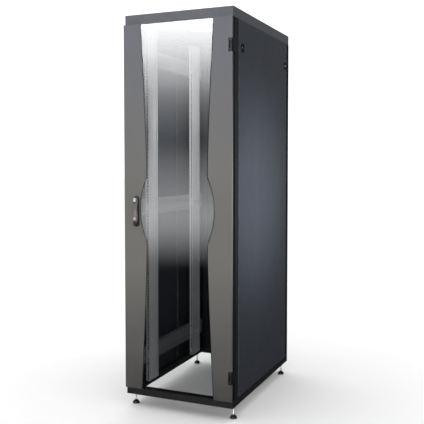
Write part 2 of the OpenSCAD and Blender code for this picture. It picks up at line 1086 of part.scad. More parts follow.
front_strip_left();
front_strip_right();
front_stiles();
front_seals();
front_hinge_leaves();
front_handle_plate();
front_handle_hub();
front_handle_lever();
front_lock_core();
front_lever_pin();
rear_door_panel();
rear_hinge_leaves();
rear_handle_plate();
rear_handle_hub();
rear_handle_lever();
rear_lock_core();
rear_lever_pin();
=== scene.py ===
# %% [markdown]
# # A 42-unit network cabinet
# The structure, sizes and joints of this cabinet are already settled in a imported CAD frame.
# This notebook gives it its looks: softened sheet-metal edges, threads, bristles, bead seals,
# paint, galvanising and glass. A cabinet could be finished by painting images on it, but then
# nothing would hold up close, so every finish here is worked out from the surface itself.

# %% Load the frame and keep its box
import json
import math
import bmesh
import bpy
import numpy as np
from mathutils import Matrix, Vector

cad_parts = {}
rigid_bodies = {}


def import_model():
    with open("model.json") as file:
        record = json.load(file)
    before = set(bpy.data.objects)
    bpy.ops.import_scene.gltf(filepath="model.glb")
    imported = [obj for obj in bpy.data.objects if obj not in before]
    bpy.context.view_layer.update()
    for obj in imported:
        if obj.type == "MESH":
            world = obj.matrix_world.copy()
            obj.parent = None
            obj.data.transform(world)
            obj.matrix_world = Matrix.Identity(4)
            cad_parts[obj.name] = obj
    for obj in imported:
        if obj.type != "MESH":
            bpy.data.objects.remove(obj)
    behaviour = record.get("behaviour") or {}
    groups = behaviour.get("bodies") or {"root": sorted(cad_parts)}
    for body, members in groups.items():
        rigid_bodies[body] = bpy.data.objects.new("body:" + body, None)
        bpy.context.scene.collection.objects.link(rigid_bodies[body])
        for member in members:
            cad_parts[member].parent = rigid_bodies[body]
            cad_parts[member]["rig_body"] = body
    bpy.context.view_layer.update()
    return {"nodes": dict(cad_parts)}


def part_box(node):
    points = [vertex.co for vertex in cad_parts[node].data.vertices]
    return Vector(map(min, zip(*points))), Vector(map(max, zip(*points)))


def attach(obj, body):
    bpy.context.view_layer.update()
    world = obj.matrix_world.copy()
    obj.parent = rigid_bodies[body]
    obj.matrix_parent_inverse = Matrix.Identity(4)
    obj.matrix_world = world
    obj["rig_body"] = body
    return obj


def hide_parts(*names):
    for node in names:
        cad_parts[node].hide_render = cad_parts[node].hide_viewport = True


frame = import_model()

NODES = frame["nodes"]
MM = 0.001

# %% [markdown]
# ## Camera
# A tall cabinet looks right from chest height through a short tele lens, so that its uprights
# stay nearly parallel. The camera turns by yaw about the vertical and dips by pitch. A small
# vertical shift keeps the roof and the feet in the frame without tilting any further.

# %% Camera
camera_place = (1.525, -3.529, 1.290)
camera_yaw = math.radians(23.42)
camera_pitch = math.radians(-2.81)
camera_lens = 58.03

camera = bpy.data.objects.new("camera", bpy.data.cameras.new("camera"))
bpy.context.scene.collection.objects.link(camera)
camera.location = camera_place
camera.rotation_euler = (math.pi / 2 + camera_pitch, 0.0, camera_yaw)
camera.data.lens = camera_lens
camera.data.sensor_width = 36.0
camera.data.shift_y = -0.04
bpy.context.scene.camera = camera
print("camera", camera_place, "lens", camera_lens)

# %% [markdown]
# ## Surfaces from arrays
# Almost every small fitting on a cabinet is turned, drawn or extruded, so each one is a grid of
# points: rings along a path. These helpers work on whole arrays. `skin` joins the rings into one
# closed surface whose faces point outwards, and `gathered` puts several shells into one mesh.

# %% Skin over a grid of rings
def skin(grid, closed_rows=False):
    """Quads join ring i to ring i + 1. Each ring is closed and runs anticlockwise seen from the last
    ring. closed_rows joins the last ring to the first, as on a torus; otherwise both ends get a flat
    lid."""
    rows, cols = grid.shape[:2]
    i, j = np.meshgrid(np.arange(rows if closed_rows else rows - 1), np.arange(cols), indexing="ij")
    i1, j1 = (i + 1) % rows, (j + 1) % cols
    quads = np.stack([i * cols + j, i * cols + j1, i1 * cols + j1, i1 * cols + j], -1)
    faces = quads.reshape(-1, 4).tolist()
    if not closed_rows:
        faces.append(list(range(cols - 1, -1, -1)))
        faces.append(list(range((rows - 1) * cols, rows * cols)))
    return grid.reshape(-1, 3), faces


def turned(profile, around=32, closed=False):
    """A turned shape: the point (r, z) of the profile goes round to (r cos a, r sin a, z)."""
    angle = np.linspace(0, 2 * np.pi, around, endpoint=False)
    r, z = np.asarray(profile, float).T
    grid = np.stack([np.outer(r, np.cos(angle)), np.outer(r, np.sin(angle)),
                     np.repeat(z[:, None], around, 1)], -1)
    return skin(grid, closed)


# %% Rounded boxes and outlines
def rounded_ring(half_x, half_y, radius, steps=4):
    """A rectangle with quarter-circle corners, anticlockwise: corner centre plus radius (cos a, sin a)."""
    angle = np.linspace(0, np.pi / 2, steps + 1) + np.arange(4)[:, None] * np.pi / 2
    sign = np.array([[1, 1], [-1, 1], [-1, -1], [1, -1]])[:, None, :]
    centre = sign * np.array([half_x - radius, half_y - radius])
    return (centre + radius * np.stack([np.cos(angle), np.sin(angle)], -1)).reshape(-1, 2)


def rounded_box(low, high, radius, steps=4):
    """A box whose edges are quarter circles: near each end the ring shrinks by radius (1 - cos t)
    while the height goes in by radius (1 - sin t)."""
    low, high = np.asarray(low, float), np.asarray(high, float)
    half = (high - low) / 2
    radius = min(radius, 0.49 * 2 * half.min())
    t = np.linspace(0, np.pi / 2, steps + 1)
    inset = np.concatenate([radius * (1 - np.sin(t)), radius * (1 - np.sin(t[::-1]))])
    height = np.concatenate([low[2] + radius * (1 - np.cos(t)), high[2] - radius * (1 - np.cos(t[::-1]))])
    rings = [rounded_ring(half[0] - s, half[1] - s, radius - s * 0.98, steps) for s in inset]
    grid = np.dstack([np.stack(rings), np.repeat(height[:, None], rings[0].shape[0], 1)])
    grid[..., :2] += ((low + high) / 2)[:2]
    return skin(grid)


def tube(path, radius, around=10, closed=False):
    """A round bar along a path: each point gets a circle across the path's direction."""
    path = np.asarray(path, float)
    ahead = np.roll(path, -1, 0) - np.roll(path, 1, 0) if closed else np.gradient(path, axis=0)
    ahead /= np.linalg.norm(ahead, axis=1, keepdims=True)
    up = np.array([0.0, 0.0, 1.0]) if np.abs(ahead[:, 2]).max() < 0.9 else np.array([1.0, 0.0, 0.0])
    side = np.cross(ahead, up)
    side /= np.linalg.norm(side, axis=1, keepdims=True)
    over = np.cross(side, ahead)
    angle = np.linspace(0, 2 * np.pi, around, endpoint=False)
    circle = np.cos(angle)[:, None] * over[:, None] + np.sin(angle)[:, None] * side[:, None]
    grid = path[:, None] + radius * circle
    return skin(grid[:, ::-1], closed)


# %% Placing shells and gathering them
def stood(shell, origin, up=(0, 0, 1), side=(1, 0, 0)):
    """Carries a shell so that its z runs along up and its x along side, which is square to up."""
    points, faces = shell
    up, side = np.array(up, float), np.array(side, float)
    return points @ np.stack([side, np.cross(up, side), up]) + np.array(origin, float), faces


def gathered(shells):
    """Several shells as one: the face numbers of each go on from the points before it."""
    points, faces, start = [], [], 0
    for p, f in shells:
        points.append(p)
        faces += [[v + start for v in face] for face in f]
        start += len(p)
    return np.concatenate(points), faces


def piece(name, shells, finish, body, replaces=(), smooth_below=40):
    """Puts shells into a mesh with the finish and lets it ride on its body. Edges sharper than smooth_below
    degrees stay crisp."""
    points, faces = gathered(shells)
    assert all(NODES[node]["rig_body"] == body for node in replaces), name
    mesh = bpy.data.meshes.new(name)
    mesh.from_pydata(points.tolist(), [], faces)
    mesh.shade_smooth()
    mesh.set_sharp_from_angle(angle=math.radians(smooth_below))
    made = bpy.data.objects.new(name, mesh)
    bpy.context.scene.collection.objects.link(made)
    made.data.materials.append(finish)
    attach(made, body)
    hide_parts(*replaces)
    print(f"{name}: {len(mesh.polygons)} faces")
    return made


# %% [markdown]
# ## Folded sheet metal
# A press brake leaves a small radius on every fold and a broken edge where the sheet was cut. The
# CAD copies have knife edges, which never catch the light. Bevelling a merged copy of each sheet
# part keeps its holes and notches and rounds its edges by about a millimetre or less.

# %% Softened copies of the sheet parts
def softened(node, finish, width=0.5 * MM, segments=2, name=None):
    """A merged copy of a CAD node with its edges rounded by a bevel. Normals are weighted by face area, so
    the large faces stay flat."""
    body = NODES[node]["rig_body"]
    shape = bmesh.new()
    shape.from_mesh(NODES[node].data)
    bmesh.ops.remove_doubles(shape, verts=shape.verts, dist=0.01 * MM)
    mesh = bpy.data.meshes.new(name or node + "_sheet")
    shape.to_mesh(mesh)
    shape.free()
    mesh.shade_smooth()
    mesh.set_sharp_from_angle(angle=math.radians(30))
    made = bpy.data.objects.new(mesh.name, mesh)
    bpy.context.scene.collection.objects.link(made)
    made.data.materials.clear()
    made.data.materials.append(finish)
    bevel = made.modifiers.new("edge", "BEVEL")
    bevel.width = width
    bevel.segments = segments
    bevel.limit_method = "ANGLE"
    bevel.angle_limit = math.radians(35)
    level = made.modifiers.new("flat faces", "WEIGHTED_NORMAL")
    level.keep_sharp = True
    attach(made, body)
    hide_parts(node)
    return made


# %% [markdown]
# ## Finishes
# Powder coat is sprayed dry and melted in an oven, which leaves a fine orange peel. It is a bump
# far smaller than a millimetre with a slow drift in tone and gloss on top. Noise on object
# coordinates gives both at the right scale, and nothing slides when a door opens.

# %% A small toolbox for shader nodes
def new_finish(name):
    """An empty node material with a Principled shader already wired to the output."""
    made = bpy.data.materials.new(name)
    made.use_nodes = True
    tree = made.node_tree
    shader = tree.nodes["Principled BSDF"]
    return made, tree, shader


def add(tree, kind, inputs=(), **settings):
    """Adds a node, sets its properties, and fills or links its inputs by name or number."""
    made = tree.nodes.new(kind)
    for key, value in settings.items():
        setattr(made, key, value)
    for key, value in dict(inputs).items():
        if isinstance(value, bpy.types.NodeSocket):
            tree.links.new(value, made.inputs[key])
        else:
            made.inputs[key].default_value = value
    return made


def noise(tree, scale, detail=2.0, rough=0.5, stretch=(1, 1, 1)):
    """Noise on object coordinates; scale is in features per metre, stretch squeezes an axis."""
    place = add(tree, "ShaderNodeTexCoord").outputs["Object"]
    if stretch != (1, 1, 1):
        place = add(tree, "ShaderNodeMapping", {"Vector": place, "Scale": stretch}).outputs[0]
    return add(tree, "ShaderNodeTexNoise",
               {"Vector": place, "Scale": scale, "Detail": detail, "Roughness": rough}).outputs["Fac"]


def between(tree, value, low, high, from_low=0.3, from_high=0.7):
    """Stretches a value linearly from one span to another and clamps it."""
    return add(tree, "ShaderNodeMapRange", {"Value": value, "From Min": from_low, "From Max": from_high,
                                            "To Min": low, "To Max": high}).outputs[0]


def blended(tree, factor, first, second):
    """Mixes two colours, each given as (r, g, b) or as a socket."""
    made = add(tree, "ShaderNodeMix", data_type="RGBA")
    for number, value in ((0, factor), (6, first), (7, second)):
        if isinstance(value, bpy.types.NodeSocket):
            tree.links.new(value, made.inputs[number])
        else:
            made.inputs[number].default_value = value if number == 0 else (*value, 1.0)
    return made.outputs[2]


# %% Powder coat and paint
def paint(name, tone, wear_and_highlight_tone, roughness, peel=0.10, floor_shade=0.45, sheen=0.25, top_light_tint=None, wear_and_highlight_width=0.9 * MM):
    """Powder coat: orange peel as a bump, a slow drift in tone, and painted shade towards the floor, as
    strong as floor_shade. top_light_tint is painted cool light, the tone near the roof; sheen is the
    strength of the gloss. Edges are rubbed to the wear_and_highlight_tone where the normal, rounded over
    the width wear_and_highlight_width, leaves the flat one: edge wear, and on the panel a painted highlight."""
    made, tree, shader = new_finish(name)
    drift = between(tree, noise(tree, 2.5, 3.0), 0.0, 1.0)
    deep = tuple(0.93 * c for c in tone)
    colour = blended(tree, drift, deep, tone)
    speck = between(tree, noise(tree, 700.0, 2.0), 0.0, 0.10, 0.55, 0.75)
    colour = blended(tree, speck, colour, wear_and_highlight_tone)
    place = add(tree, "ShaderNodeTexCoord").outputs["Object"]
    height = add(tree, "ShaderNodeSeparateXYZ", {0: place}).outputs[2]
    # Painted shade: below 0.75 m the tone is blended, in patches, towards a fifth of itself near the floor.
    low = between(tree, height, floor_shade, 0.0, 0.10, 0.75)
    cloud = between(tree, noise(tree, 5.0, 5.0, 0.6), 0.75, 1.0, 0.35, 0.7)
    floor_shade_mask = add(tree, "ShaderNodeMath", {0: low, 1: cloud}, operation="MULTIPLY").outputs[0]
    colour = blended(tree, floor_shade_mask, colour, tuple(0.18 * c for c in tone))
    # Painted light: towards the roof the tone turns to top_light_tint, a cool reflection painted into the
    # colour.
    if top_light_tint:
        colour = blended(tree, between(tree, height, 0.0, 1.0, 1.2, 2.0), colour, top_light_tint)
    # Edge rub: real wear on most coats; where the edge tone is pale and the band wide, as on the panel, it is
    # a painted highlight.
    rounded = add(tree, "ShaderNodeBevel", {"Radius": wear_and_highlight_width}, samples=4).outputs[0]
    true_normal = add(tree, "ShaderNodeNewGeometry").outputs["Normal"]
    meet = add(tree, "ShaderNodeVectorMath", {0: rounded, 1: true_normal}, operation="DOT_PRODUCT")
    rub_and_highlight_mask = between(tree, meet.outputs["Value"], 0.75, 0.0, 0.80, 0.97)
    patchy = between(tree, noise(tree, 35.0, 4.0), 0.15, 1.0, 0.35, 0.7)
    edge = add(tree, "ShaderNodeMath", {0: rub_and_highlight_mask, 1: patchy}, operation="MULTIPLY").outputs[0]
    colour = blended(tree, edge, colour, wear_and_highlight_tone)
    tree.links.new(colour, shader.inputs["Base Color"])
    gloss = between(tree, noise(tree, 14.0, 5.0, 0.6), roughness - 0.02, roughness + 0.03)
    tree.links.new(gloss, shader.inputs["Roughness"])
    grain = noise(tree, 1100.0, 1.5)
    bump = add(tree, "ShaderNodeBump", {"Height": grain, "Strength": peel, "Distance": 0.25 * MM})
    tree.links.new(bump.outputs[0], shader.inputs["Normal"])
    shader.inputs["Specular IOR Level"].default_value = sheen
    return made


frame_paint = paint("frame_powder_coat", (0.021, 0.024, 0.030), (0.08, 0.09, 0.11), 0.40)
# The post coat is the frame coat made much darker: painted shade for the dark corner recesses at the posts.
post_shaded_paint = paint("post_shaded_powder_coat", (0.008, 0.010, 0.012), (0.05, 0.056, 0.06), 0.40)
# The panel coat's pale edge tone over a 4 mm band is a painted highlight line along the panel's edges.
panel_highlit_paint = paint("panel_highlit_powder_coat", (0.030, 0.035, 0.045), (0.34, 0.37, 0.40), 0.40,
                    wear_and_highlight_width=4.0 * MM, floor_shade=0.35)
brace_paint = paint("brace_powder_coat", (0.20, 0.205, 0.215), (0.34, 0.35, 0.36), 0.38)
# The door coat carries strong painted shade towards the floor and a cool painted light near the roof.
door_paint = paint("door_powder_coat", (0.124, 0.121, 0.114), (0.24, 0.24, 0.25), 0.42, floor_shade=0.85,
                   top_light_tint=(0.088, 0.092, 0.110))
cap_paint = paint("cap_powder_coat", (0.068, 0.073, 0.086), (0.17, 0.18, 0.20), 0.42)
lever_coat = paint("lever_coat", (0.105, 0.094, 0.086), (0.22, 0.21, 0.20), 0.36, floor_shade=0.0, sheen=0.5)
base_paint = paint("base_black_paint", (0.012, 0.012, 0.014), (0.06, 0.06, 0.065), 0.38)
hardware_black = paint("die_cast_black", (0.006, 0.006, 0.007), (0.035, 0.035, 0.035), 0.44,
                       peel=0.2, floor_shade=0.1)
print("paints ready")


# %% [markdown]
# Hot-dip galvanising freezes into spangles, crystals a few millimetres wide that each lie at their
# own tilt. A Voronoi pattern gives one grey per crystal; a fine noise breaks it up. Plated screws
# and studs are smoother and only drift slightly between blue and yellow.

# %% Galvanised sheet and plated steel
def galvanised_sheet(name):
    """Each Voronoi cell takes its own brightness and gloss, as a zinc crystal does. Towards the
    floor the tone is painted darker: painted shade."""
    made, tree, shader = new_finish(name)
    place = add(tree, "ShaderNodeTexCoord").outputs["Object"]
    bend = noise(tree, 60.0, 2.0)
    crystal = add(tree, "ShaderNodeTexVoronoi", {"Vector": place, "Scale": 210.0})
    shade = add(tree, "ShaderNodeSeparateColor", {0: crystal.outputs["Color"]}).outputs[0]
    fine = between(tree, noise(tree, 1500.0, 2.0), 0.0, 0.4, 0.35, 0.65)
    mixed = add(tree, "ShaderNodeMath", {0: shade, 1: fine}, operation="ADD").outputs[0]
    tone = blended(tree, between(tree, mixed, 0.0, 1.0, 0.1, 1.2), (0.66, 0.68, 0.70), (0.90, 0.91, 0.92))
    tone = blended(tree, between(tree, bend, 0.0, 0.20), tone, (0.55, 0.56, 0.58))
    height = add(tree, "ShaderNodeSeparateXYZ", {0: place}).outputs[2]
    # Painted shade: below 1.15 m the tone is blended towards dark grey, most near the floor.
    tone = blended(tree, between(tree, height, 0.6, 0.0, 0.35, 1.15), tone, (0.22, 0.22, 0.23))
    tree.links.new(tone, shader.inputs["Base Color"])
    tree.links.new(between(tree, shade, 0.34, 0.50, 0.0, 1.0), shader.inputs["Roughness"])
    shader.inputs["Metallic"].default_value = 0.25
    bump = add(tree, "ShaderNodeBump", {"Height": mixed, "Strength": 0.08, "Distance": 0.1 * MM})
    tree.links.new(bump.outputs[0], shader.inputs["Normal"])
    return made


def plated(name, tone, other, roughness, metallic=0.9):
    """Bright plating: two close tones in slow patches, and fine turning marks across the height."""
    made, tree, shader = new_finish(name)
    patch = between(tree, noise(tree, 45.0, 3.0), 0.0, 1.0)
    tree.links.new(blended(tree, patch, tone, other), shader.inputs["Base Color"])
    marks = noise(tree, 500.0, 2.0, stretch=(1, 1, 8))
    tree.links.new(between(tree, marks, roughness, roughness + 0.15), shader.inputs["Roughness"])
    shader.inputs["Metallic"].default_value = metallic
    bump = add(tree, "ShaderNodeBump", {"Height": marks, "Strength": 0.1, "Distance": 0.05 * MM})
    tree.links.new(bump.outputs[0], shader.inputs["Normal"])
    return made


galvanised = galvanised_sheet("galvanised_spangle")
bright_zinc = plated("bright_zinc", (0.72, 0.74, 0.78), (0.70, 0.68, 0.60), 0.22)
chrome = plated("polished_chrome", (0.86, 0.87, 0.88), (0.78, 0.79, 0.80), 0.10, 1.0)
satin_steel = plated("satin_steel", (0.34, 0.33, 0.32), (0.28, 0.27, 0.26), 0.32)
print("metals ready")

# %% [markdown]
# Sealing rubber is matt with a greyish bloom. Brush bristles are nylon: dark, slightly glossy, and
# each strand a little different, which a noise squeezed along the strand gives.

# %% Rubber and nylon
def dull_polymer(name, tone, bloom, roughness, scale, stretch=(1, 1, 1)):
    """A dark polymer with a paler bloom in patches and a fine moulded grain."""
    made, tree, shader = new_finish(name)
    patch = between(tree, noise(tree, scale, 4.0, 0.6, stretch), 0.0, 1.0)
    tree.links.new(blended(tree, patch, tone, bloom), shader.inputs["Base Color"])
    tree.links.new(between(tree, patch, roughness, roughness + 0.15, 0, 1), shader.inputs["Roughness"])
    grain = noise(tree, 2200.0, 2.0)
    bump = add(tree, "ShaderNodeBump", {"Height": grain, "Strength": 0.15, "Distance": 0.1 * MM})
    tree.links.new(bump.outputs[0], shader.inputs["Normal"])
    shader.inputs["Specular IOR Level"].default_value = 0.25
    return made


seal_rubber = dull_polymer("seal_rubber", (0.016, 0.016, 0.017), (0.040, 0.040, 0.042), 0.62, 25.0)
pad_rubber = dull_polymer("pad_polymer", (0.004, 0.004, 0.004), (0.012, 0.012, 0.012), 0.42, 60.0)
brush_nylon = dull_polymer("brush_nylon", (0.010, 0.010, 0.011), (0.050, 0.050, 0.052), 0.40, 300.0,
                           (4, 0.3, 1))
print("polymers ready")

# %% [markdown]
# Door glass is tinted safety glass. Light goes straight through a flat pane, so a transparent
# shader is right and leaves the inside clean; the Fresnel law decides how much is mirrored instead.

# %% Door glass
def pane_glass(name):
    """Fresnel chooses between seeing through a tinted pane and its mirror, on faces that light enters
    by; faint wipe marks roughen the mirror."""
    made, tree, shader = new_finish(name)
    tree.nodes.remove(shader)
    clear = add(tree, "ShaderNodeBsdfTransparent", {"Color": (0.965, 0.97, 0.97, 1.0)})
    wipe = between(tree, noise(tree, 3.0, 4.0, 0.6), 0.002, 0.014, 0.35, 0.75)
    mirror = add(tree, "ShaderNodeBsdfGlossy", {"Color": (0.97, 0.98, 1.0, 1.0), "Roughness": wipe})
    leaving = add(tree, "ShaderNodeNewGeometry").outputs["Backfacing"]
    entering = add(tree, "ShaderNodeMath", {0: 1.0, 1: leaving}, operation="SUBTRACT").outputs[0]
    fresnel = add(tree, "ShaderNodeFresnel", {"IOR": 1.85}).outputs[0]
    share = add(tree, "ShaderNodeMath", {0: fresnel, 1: entering}, operation="MULTIPLY")
    pane = add(tree, "ShaderNodeMixShader", {0: share.outputs[0], 1: clear.outputs[0], 2: mirror.outputs[0]})
    output = next(n for n in tree.nodes if n.type == "OUTPUT_MATERIAL")
    tree.links.new(pane.outputs[0], output.inputs["Surface"])
    return made


door_glass = pane_glass("door_glass")

# %% Sheet parts: frame, panels and doors
ENDS, SIDES, LEVELS = ("front", "rear"), ("left", "right"), ("low", "mid", "top")
sheet_parts = {
    "base_frame": (base_paint, "base_paint", 1.2),
    "top_frame": (frame_paint, "frame_paint", 0.5),
    "roof_cap": (cap_paint, "door_paint", 0.6),
    "door_keepers": (bright_zinc, "bright_zinc", 0.4),
    "rail_brackets": (galvanised, "galvanised", 0.5),
    "front_stiles": (frame_paint, "frame_paint", 0.4),
    "rear_door_panel": (frame_paint, "frame_paint", 0.12),
    **{f"post_{e}_{s}": (post_shaded_paint, "frame_paint", 0.8) for e in ENDS for s in SIDES},
    **{f"brace_{s}_{level}": (brace_paint, "frame_paint", 0.5) for s in SIDES for level in LEVELS},
    **{f"side_panel_{s}": (panel_highlit_paint, "frame_paint", 0.6) for s in SIDES},
    **{f"front_strip_{s}": (door_paint, "door_paint", 0.6) for s in SIDES},
}
for node, (finish, slot, width) in sheet_parts.items():
    softened(node, finish, width * MM)
print("softened sheet parts:", len(sheet_parts))

# %% [markdown]
# ## Rails and glass
# The 19-inch rails already have every square hole, so the CAD nodes stay and only take their
# finish. The pane is a softened copy like the sheet parts.

# %% Finishes on the carried-over nodes
def finished(node, finish):
    """Gives a carried-over CAD node its finish in every material slot."""
    for place in NODES[node].material_slots:
        place.material = finish


for end in ENDS:
    for side in SIDES:
        finished(f"rail_{end}_{side}", galvanised)
softened("front_glass", door_glass, 0.4 * MM, name="front_glass_pane")
print("rails and glass finished")


# %% Printed border on the pane, also a painted shadow line
def pane_print_and_shadow(side):
    """The strip's own outline pressed flat onto the pane and moved 4 mm towards the middle of the door.
    It is black print and also a painted shadow line along the strip's inner edge.
    """
    strip = NODES[f"front_strip_{side}"].data
    points = np.empty(len(strip.vertices) * 3)
    strip.vertices.foreach_get("co", points)
    points = points.reshape(-1, 3)
    behind = points[:, 1] > points[:, 1].mean()
    points[:, 1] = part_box("front_glass")[0].y - 0.15 * MM + 0.1 * MM * behind
    points[:, 0] += 4 * MM if side == "left" else -4 * MM
    piece(f"pane_print_and_shadow_{side}", [(points, [list(face.vertices) for face in strip.polygons])], hardware_black,
          "front_door")


for side in SIDES:
    pane_print_and_shadow(side)

# %% [markdown]
# ## Levelling feet
# Each corner stands on a threaded stud in a domed plastic pad. A thread could be a Screw modifier
# on a small profile, but as a formula it is one array: the radius drops by a triangle wave that
# climbs one pitch for every turn. The wave fades out near both ends, so the lids stay round.

# %% Thread, pad and locknut
def threaded(radius, pitch, z0, z1, around=18, per_turn=4, depth=0.6):
    """Radius minus a triangle wave of z / pitch - angle / turn; depth is a share of the pitch."""
    z = np.linspace(z0, z1, int((z1 - z0) / pitch * per_turn) + 1)
    angle = np.linspace(0, 2 * np.pi, around, endpoint=False)
    phase = z[:, None] / pitch - angle / (2 * np.pi)
    wave = np.abs(2 * (phase - np.floor(phase)) - 1)
    fade = np.clip(np.minimum(z - z0, z1 - z) / pitch, 0, 1)[:, None]
    r = radius - depth * pitch * wave * fade
    return skin(np.stack([r * np.cos(angle), r * np.sin(angle), np.repeat(z[:, None], around, 1)], -1))


def hex_nut(corner, bore, height, chamfer=0.9 * MM, around=72):
    """The outside is the smaller of the hexagon's radius at that angle and a cone that chamfers the
    corners."""
    angle = np.linspace(0, 2 * np.pi, around, endpoint=False)
    flat = corner * np.cos(np.pi / 6) / np.cos((angle + np.pi / 6) % (np.pi / 3) - np.pi / 6)
    z = np.array([0.0, chamfer / 2, chamfer, height - chamfer, height - chamfer / 2, height])
    cone = corner - 1.7 * np.clip(chamfer - np.minimum(z, height - z), 0, None)
    outside = np.minimum(flat, cone[:, None])
    inside = np.full((2, around), bore)
    r = np.concatenate([outside, inside])
    height_of = np.concatenate([z, [height, 0.0]])[:, None] + np.zeros(around)
    return skin(np.stack([r * np.cos(angle), r * np.sin(angle), height_of], -1), closed_rows=True)


# The pad's outline, foot up: flat rim, skirt, dome and neck
PAD_OUTLINE = np.array([(0.5, 0), (17.2, 0), (18, 0.8), (18, 4.2), (17.4, 5.4), (16.9, 7.2), (15.6, 10),
                        (13.4, 12.8), (10.8, 15.2), (8.6, 16.8), (7.7, 18.0), (7.5, 19.5), (6.9, 20),
                        (0.5, 20)]) * MM
nuts = []
for end in ENDS:
    for side in SIDES:
        low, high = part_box(f"foot_stud_{end}_{side}")
        centre = ((low.x + high.x) / 2, (low.y + high.y) / 2, 0.0)
        where, body = f"{end}_{side}", f"foot_{end}_{side}"
        piece(f"levelling_pad_{where}", [stood(turned(PAD_OUTLINE, 48), centre)], pad_rubber, body,
              [f"foot_pad_{where}"])
        stud = threaded((high.x - low.x) / 2, 1.5 * MM, 19.5 * MM, high.z)
        piece(f"levelling_stud_{where}", [stood(stud, centre)], bright_zinc, body,
              [f"foot_stud_{where}"], smooth_below=50)
        under_base = (centre[0], centre[1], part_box("foot_locknuts")[0].z)
        nuts.append(stood(hex_nut(9.8 * MM, 5.1 * MM, 6 * MM), under_base))
piece("foot_lock_nuts", nuts, bright_zinc, "frame", ["foot_locknuts"], smooth_below=25)

# %% Earth studs on the base bar
earth_low, earth_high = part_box("earth_studs")
earth_y = (earth_low.y + earth_high.y) / 2
WASHER = np.array([(4, 0), (8.6, 0), (9, 0.4), (9, 1.6), (8.6, 2), (4, 2)]) * MM
shells = []
for x in (earth_low.x + 9 * MM, earth_high.x - 9 * MM):
    foot = (x, earth_y, earth_low.z)
    shells += [stood(turned(WASHER, 36, True), foot),
               stood(threaded(4 * MM, 1.25 * MM, 0.5 * MM, 22 * MM), foot),
               stood(hex_nut(7.4 * MM, 4.05 * MM, 6 * MM), (x, earth_y, earth_low.z + 2.1 * MM))]
piece("earth_stud_sets", shells, bright_zinc, "frame", ["earth_studs"], smooth_below=25)

# %% [markdown]
# ## Rail screws
# Pan-head screws with a hexagon socket hold each rail to its brackets, two at every brace. The head
# is a turned cap, and the socket is a round well turned into the same profile.

# %% Pan-head screws
HEAD = np.array([(5.3, 0), (5.5, 0.3), (5.5, 1.3), (5.1, 2.2), (4.2, 2.8), (3.1, 3.0), (2.6, 3.0), (2.6, 1.0),
                 (0.3, 1.0)]) * MM
shells = []
for side in SIDES:
    for end in ENDS:
        rail_low, rail_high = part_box(f"rail_{end}_{side}")
        inward = 1 if side == "left" else -1
        face_x = rail_high.x if side == "left" else rail_low.x
        for level in LEVELS:
            brace_low, brace_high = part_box(f"brace_{side}_{level}")
            for back in (30 * MM, 70 * MM):
                spot = (face_x, rail_low.y + back, (brace_low.z + brace_high.z) / 2)
                shells.append(stood(turned(HEAD, 18), spot, (inward, 0, 0), (0, 0, 1)))
piece("rail_screw_heads", shells, bright_zinc, "frame", ["rail_screws"])

# %% [markdown]
# ## Roof fittings
# Wire finger guards sit under the fan openings and two brush strips close the cable entry. Wire is a
# circle carried round a ring or along a spoke. The bristles are some three hundred tufts, so each
# is only a four-sided spike, and one broadcast makes them all.

# %% Fan guards
guard_low, guard_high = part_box("roof_fan_guards")
wire = (guard_high.z - guard_low.z) / 2
GUARD_HUB = np.array([(0.3, 0), (8.4, 0), (9, 0.6), (9, 1.4), (8.2, 2.2), (0.3, 2.4)]) * MM
guard_z = (guard_low.z + guard_high.z) / 2
eye_reach = 52.5 * MM
fan_centres = [(x, y) for x in (guard_low.x + eye_reach + 5 * MM, guard_high.x - eye_reach - 5 * MM)
               for y in (guard_low.y + eye_reach + 5 * MM, guard_high.y - eye_reach - 5 * MM)]


def ring_path(radius, count):
    """Points on a flat circle, radius times (cos a, sin a)."""
    angle = np.linspace(0, 2 * np.pi, count, endpoint=False)
    return np.stack([radius * np.cos(angle), radius * np.sin(angle), np.zeros(count)], -1)


def wire_guard():
    """Three wire rings and a hub disc on four spokes that end in bolt eyes."""
    shells = [tube(ring_path(r * MM - wire, 56), wire * 0.8, 8, True) for r in (24, 39, 54)]
    shells.append(stood(turned(GUARD_HUB, 32), (0, 0, -wire)))
    for quarter in range(4):
        angle = np.pi / 4 + quarter * np.pi / 2
        out = np.array([np.cos(angle), np.sin(angle), 0])
        eye = out * eye_reach * math.sqrt(2)
        spoke = out * np.linspace(8 * MM, eye_reach * math.sqrt(2) - 4 * MM, 6)[:, None]
        shells += [tube(spoke, wire * 0.9, 8), stood(tube(ring_path(3.9 * MM, 20), wire * 0.9, 8, True), eye)]
    return shells


guards = [stood(shell, (x, y, guard_z)) for x, y in fan_centres for shell in wire_guard()]
piece("fan_finger_guards", guards, hardware_black, "frame", ["roof_fan_guards"])

# %% Brush strips
brush_low, brush_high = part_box("roof_brush")
entry_y = (brush_low.y + brush_high.y) / 2
tufts = 150
draw = np.random.default_rng(42)


